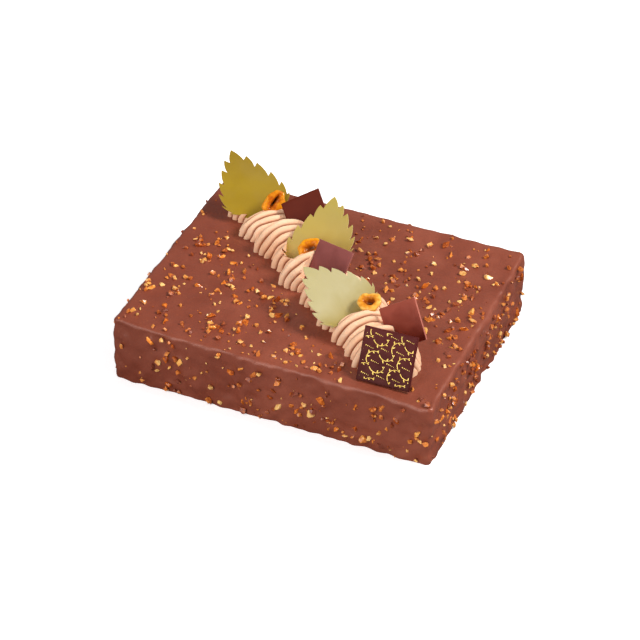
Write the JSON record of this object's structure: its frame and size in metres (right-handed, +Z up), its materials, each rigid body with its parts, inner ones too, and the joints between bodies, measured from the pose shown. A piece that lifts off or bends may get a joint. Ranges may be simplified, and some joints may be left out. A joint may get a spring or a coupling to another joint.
{
  "type": "royal chocolate cake",
  "caption": "Uncut rectangular chocolate cake in nut glaze, with a diagonal strip of piped cream that carries leaves, hazelnut halves, chocolate squares and a plaque.",
  "frame": {"origin": "centre of the flat base of the cake", "axes": "+X along the long side, to the right seen from the front; +Y to the back; +Z up; the front of the cake faces -Y"},
  "size_m": [0.2181, 0.1724, 0.0814],
  "materials": {
    "glaze": "satin milk chocolate glaze with chopped nuts",
    "cream": "soft satin, piped praline cream",
    "leaf": "satin tinted white chocolate",
    "hazelnut": "glossy caramelised nut",
    "chocolate": "satin tempered chocolate",
    "plaque": "glossy dark chocolate with gold print"
  },
  "bodies": {
    "root": {"cake": "glaze", "piped_cream": "cream", "leaf_back": "leaf", "leaf_middle": "leaf", "leaf_front": "leaf", "hazelnut_back": "hazelnut", "hazelnut_middle": "hazelnut", "hazelnut_front": "hazelnut", "chocolate_square_back": "chocolate", "chocolate_square_middle": "chocolate", "chocolate_square_front": "chocolate", "chocolate_plaque": "plaque"}
  },
  "joints": []
}
